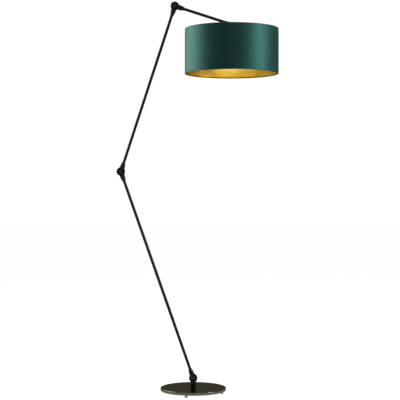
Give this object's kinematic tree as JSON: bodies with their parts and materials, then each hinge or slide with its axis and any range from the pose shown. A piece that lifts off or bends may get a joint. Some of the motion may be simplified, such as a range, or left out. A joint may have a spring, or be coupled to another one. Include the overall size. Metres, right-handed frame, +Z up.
{
  "type": "adjustable arm floor lamp",
  "caption": "Floor lamp with a round weighted base, hinged tube arms clamped by knobs, and a wide drum shade hung from a short boom.",
  "frame": {"origin": "on the floor, under the middle of the lamp's outline as stored; the base's centre is 23 mm to -X of it", "axes": "+Z up, +X from the elbow towards the shade, +Y away from the clamp knobs; every hinge turns about Y"},
  "size_m": [0.8632, 0.5, 2.083],
  "materials": {
    "base_coat": "gloss",
    "cast_iron": "matte",
    "black_coat": "satin",
    "knob_black": "satin",
    "zinc_steel": "satin",
    "brass": "satin",
    "fibre": "matte",
    "clear_plastic": "gloss",
    "teal_velvet": "satin",
    "gold_foil": "satin",
    "coated_wire": "satin",
    "holder_plastic": "satin",
    "bulb_cap": "satin",
    "frosted_globe": "satin",
    "cable_rubber": "matte"
  },
  "bodies": {
    "base": {"base_cover": "base_coat", "base_weight": "cast_iron", "base_foot_1": "clear_plastic", "base_foot_2": "clear_plastic", "base_foot_3": "clear_plastic", "base_foot_4": "clear_plastic", "base_nipple": "zinc_steel", "base_washer": "zinc_steel", "base_nut": "zinc_steel", "cable_gland": "cable_rubber", "base_cable": "cable_rubber", "base_joint_lower_half": "black_coat", "base_joint_friction_washer": "fibre", "base_joint_clamp_bolt": "black_coat", "base_joint_spring_washer": "zinc_steel", "base_joint_knob_washer": "zinc_steel"},
    "base_joint_knob": {"base_joint_knob": "knob_black"},
    "lower_arm": {"base_joint_upper_half": "black_coat", "lower_arm_tube": "black_coat", "lower_arm_cable": "cable_rubber", "elbow_lower_half": "black_coat", "elbow_friction_washer": "fibre", "elbow_clamp_bolt": "black_coat", "elbow_spring_washer": "zinc_steel", "elbow_knob_washer": "zinc_steel"},
    "elbow_knob": {"elbow_knob": "knob_black"},
    "upper_arm": {"elbow_upper_half": "black_coat", "upper_arm_tube": "black_coat", "upper_arm_cable": "cable_rubber", "shoulder_arm_half": "black_coat", "shoulder_friction_washer": "fibre", "shoulder_clamp_bolt": "black_coat", "shoulder_spring_washer": "zinc_steel", "shoulder_knob_washer": "zinc_steel"},
    "shoulder_knob": {"shoulder_knob": "knob_black"},
    "boom": {"shoulder_boom_half": "black_coat", "boom_tube": "black_coat", "boom_cable": "cable_rubber", "head_boom_half": "black_coat", "head_friction_washer": "fibre", "head_clamp_bolt": "black_coat", "head_spring_washer": "zinc_steel", "head_knob_washer": "zinc_steel"},
    "head_knob": {"head_knob": "knob_black"},
    "shade_head": {"head_shade_half": "black_coat", "holder_nipple": "zinc_steel", "holder_cap": "holder_plastic", "holder_body": "holder_plastic", "holder_ring": "holder_plastic", "holder_contact": "brass", "bulb_cap": "bulb_cap", "bulb_globe": "frosted_globe", "shade_spider": "coated_wire", "shade_top_ring": "coated_wire", "shade_bottom_ring": "coated_wire", "shade_lining": "gold_foil", "shade_drum": "teal_velvet"}
  },
  "joints": [
    {"name": "base_joint_pivot", "type": "hinge", "parent": "base", "child": "lower_arm", "pos_m": [-0.02334, 0, 0.078], "axis": [0, 1, 0], "range_deg": [-70.7, 109.3]},
    {"name": "elbow_pivot", "type": "hinge", "parent": "lower_arm", "child": "upper_arm", "pos_m": [-0.40905, 0, 1.17942], "axis": [0, 1, 0], "range_deg": [-132.4, 57.6]},
    {"name": "shoulder_pivot", "type": "hinge", "parent": "upper_arm", "child": "boom", "pos_m": [-0.12105, 0, 2.06054], "axis": [0, 1, 0], "range_deg": [-184.8, 5.2]},
    {"name": "head_pivot", "type": "hinge", "parent": "boom", "child": "shade_head", "pos_m": [0.18155, 0, 1.9628], "axis": [0, 1, 0], "range_deg": [-162.1, 17.9]},
    {"name": "base_joint_knob_turn", "type": "hinge", "parent": "base", "child": "base_joint_knob", "pos_m": [-0.02334, 0, 0.078], "axis": [0, 1, 0], "range_deg": [-360, 0]},
    {"name": "elbow_knob_turn", "type": "hinge", "parent": "lower_arm", "child": "elbow_knob", "pos_m": [-0.40905, 0, 1.17942], "axis": [0, 1, 0], "range_deg": [-360, 0]},
    {"name": "shoulder_knob_turn", "type": "hinge", "parent": "upper_arm", "child": "shoulder_knob", "pos_m": [-0.12105, 0, 2.06054], "axis": [0, 1, 0], "range_deg": [-360, 0]},
    {"name": "head_knob_turn", "type": "hinge", "parent": "boom", "child": "head_knob", "pos_m": [0.18155, 0, 1.9628], "axis": [0, 1, 0], "range_deg": [-360, 0]}
  ]
}
